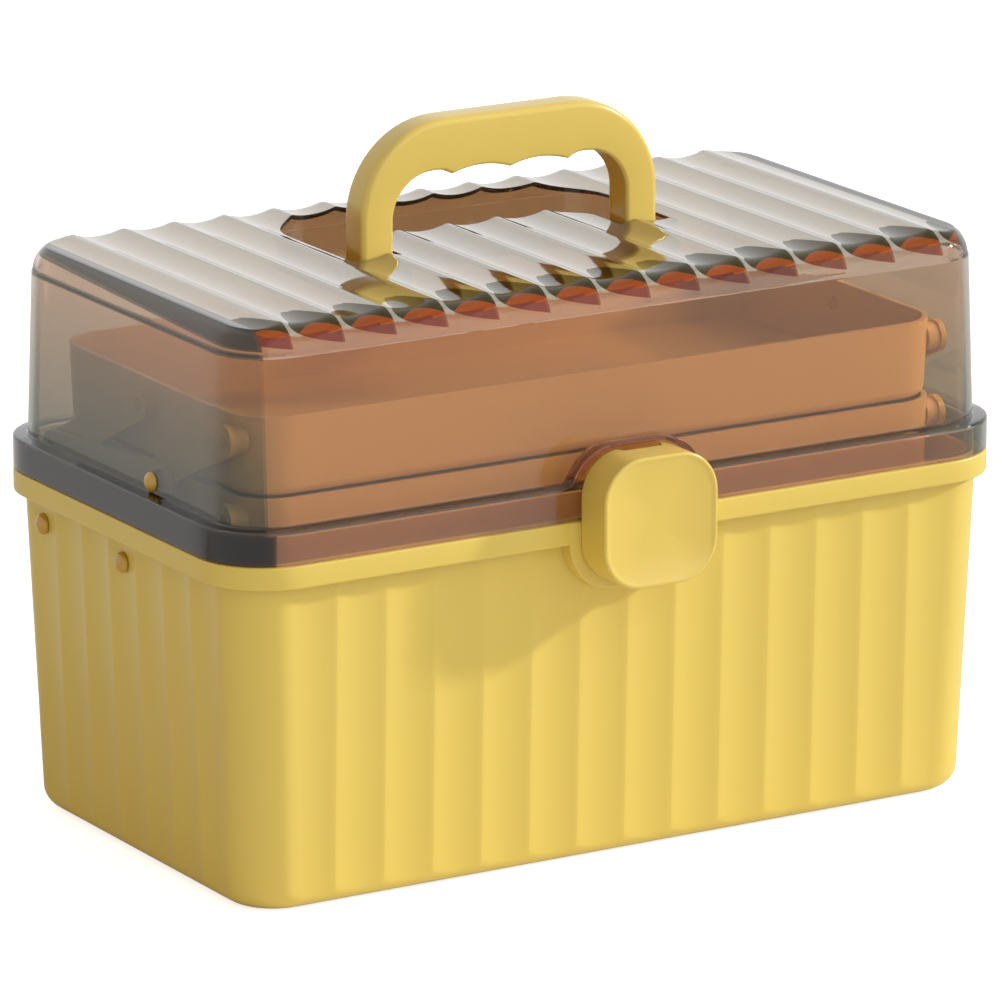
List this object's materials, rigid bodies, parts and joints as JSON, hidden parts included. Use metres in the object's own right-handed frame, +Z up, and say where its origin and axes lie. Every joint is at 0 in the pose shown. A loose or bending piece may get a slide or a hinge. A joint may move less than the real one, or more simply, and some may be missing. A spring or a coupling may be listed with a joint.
{
  "type": "medicine box",
  "caption": "Fluted box with a see-through lid, a folding carrying handle, a snap latch and stacked trays that rise on cantilever arms as the lid opens.",
  "frame": {"origin": "middle of the flat underside of the base", "axes": "+X along the length of the box, -Y to the front with the latch, +Z up"},
  "size_m": [0.33, 0.2134, 0.2618],
  "materials": {
    "shell_plastic": "moulded gloss",
    "lid_plastic": "clear smoky gloss",
    "tray_plastic": "moulded satin gloss",
    "arm_plastic": "moulded satin gloss",
    "rivet_plastic": "moulded gloss",
    "pin_steel": "ground wire"
  },
  "bodies": {
    "base": {"base_shell": "shell_plastic", "base_rear_rivet_right": "rivet_plastic", "base_rear_rivet_left": "rivet_plastic", "base_front_rivet_right": "rivet_plastic", "base_front_rivet_left": "rivet_plastic", "hinge_pin_right": "pin_steel", "hinge_pin_left": "pin_steel"},
    "lid": {"lid_shell": "lid_plastic", "latch_pin": "pin_steel", "lid_link_rivet_right": "rivet_plastic", "lid_link_rivet_left": "rivet_plastic", "handle_pin_right": "pin_steel", "handle_pin_left": "pin_steel"},
    "handle": {"handle": "shell_plastic"},
    "latch": {"latch": "shell_plastic"},
    "long_arms": {"long_arm_right": "arm_plastic", "long_arm_left": "arm_plastic"},
    "lower_arms": {"lower_arm_right": "arm_plastic", "lower_arm_left": "arm_plastic"},
    "upper_arms": {"upper_arm_right": "arm_plastic", "upper_arm_left": "arm_plastic"},
    "lower_tray": {"lower_tray": "tray_plastic", "lower_tray_pins": "rivet_plastic"},
    "upper_tray": {"upper_tray": "tray_plastic", "upper_tray_pins": "rivet_plastic"},
    "lid_links": {"lid_link_right": "arm_plastic", "lid_link_left": "arm_plastic"}
  },
  "joints": [
    {"name": "lid_hinge", "type": "hinge", "parent": "base", "child": "lid", "pos_m": [0, 0.0985, 0.131], "axis": [-1, 0, 0], "range_deg": [0, 100]},
    {"name": "long_arm_swing", "type": "hinge", "parent": "base", "child": "long_arms", "pos_m": [0, 0.0615, 0.112], "axis": [-1, 0, 0], "range_deg": [0, 40.5]},
    {"name": "lower_arm_swing", "type": "hinge", "parent": "base", "child": "lower_arms", "pos_m": [0, 0.0005, 0.112], "axis": [-1, 0, 0], "range_deg": [0, 40.5]},
    {"name": "lower_tray_level", "type": "hinge", "parent": "long_arms", "child": "lower_tray", "pos_m": [0, 0, 0.141], "axis": [-1, 0, 0], "range_deg": [-40.5, 0]},
    {"name": "upper_tray_level", "type": "hinge", "parent": "long_arms", "child": "upper_tray", "pos_m": [0, -0.0615, 0.17], "axis": [-1, 0, 0], "range_deg": [-40.5, 0]},
    {"name": "upper_arm_swing", "type": "hinge", "parent": "lower_tray", "child": "upper_arms", "pos_m": [0, 0.061, 0.141], "axis": [-1, 0, 0], "range_deg": [0, 40.5]},
    {"name": "lid_link_swing", "type": "hinge", "parent": "lower_tray", "child": "lid_links", "pos_m": [0, 0.061, 0.141], "axis": [-1, 0, 0], "range_deg": [0, 115.5]},
    {"name": "handle_fold", "type": "hinge", "parent": "lid", "child": "handle", "pos_m": [0, 0, 0.206], "axis": [-1, 0, 0], "range_deg": [0, 90]},
    {"name": "latch_flip", "type": "hinge", "parent": "lid", "child": "latch", "pos_m": [0, -0.1, 0.1494], "axis": [-1, 0, 0], "range_deg": [0, 55]}
  ],
  "couplings": [
    {"joint": "long_arm_swing", "follows": "lid_hinge", "ratio": 0.4},
    {"joint": "lower_arm_swing", "follows": "lid_hinge", "ratio": 0.4},
    {"joint": "lower_tray_level", "follows": "lid_hinge", "ratio": -0.4},
    {"joint": "upper_tray_level", "follows": "lid_hinge", "ratio": -0.4},
    {"joint": "upper_arm_swing", "follows": "lid_hinge", "ratio": 0.4},
    {"joint": "lid_link_swing", "follows": "lid_hinge", "ratio": 1.147}
  ]
}
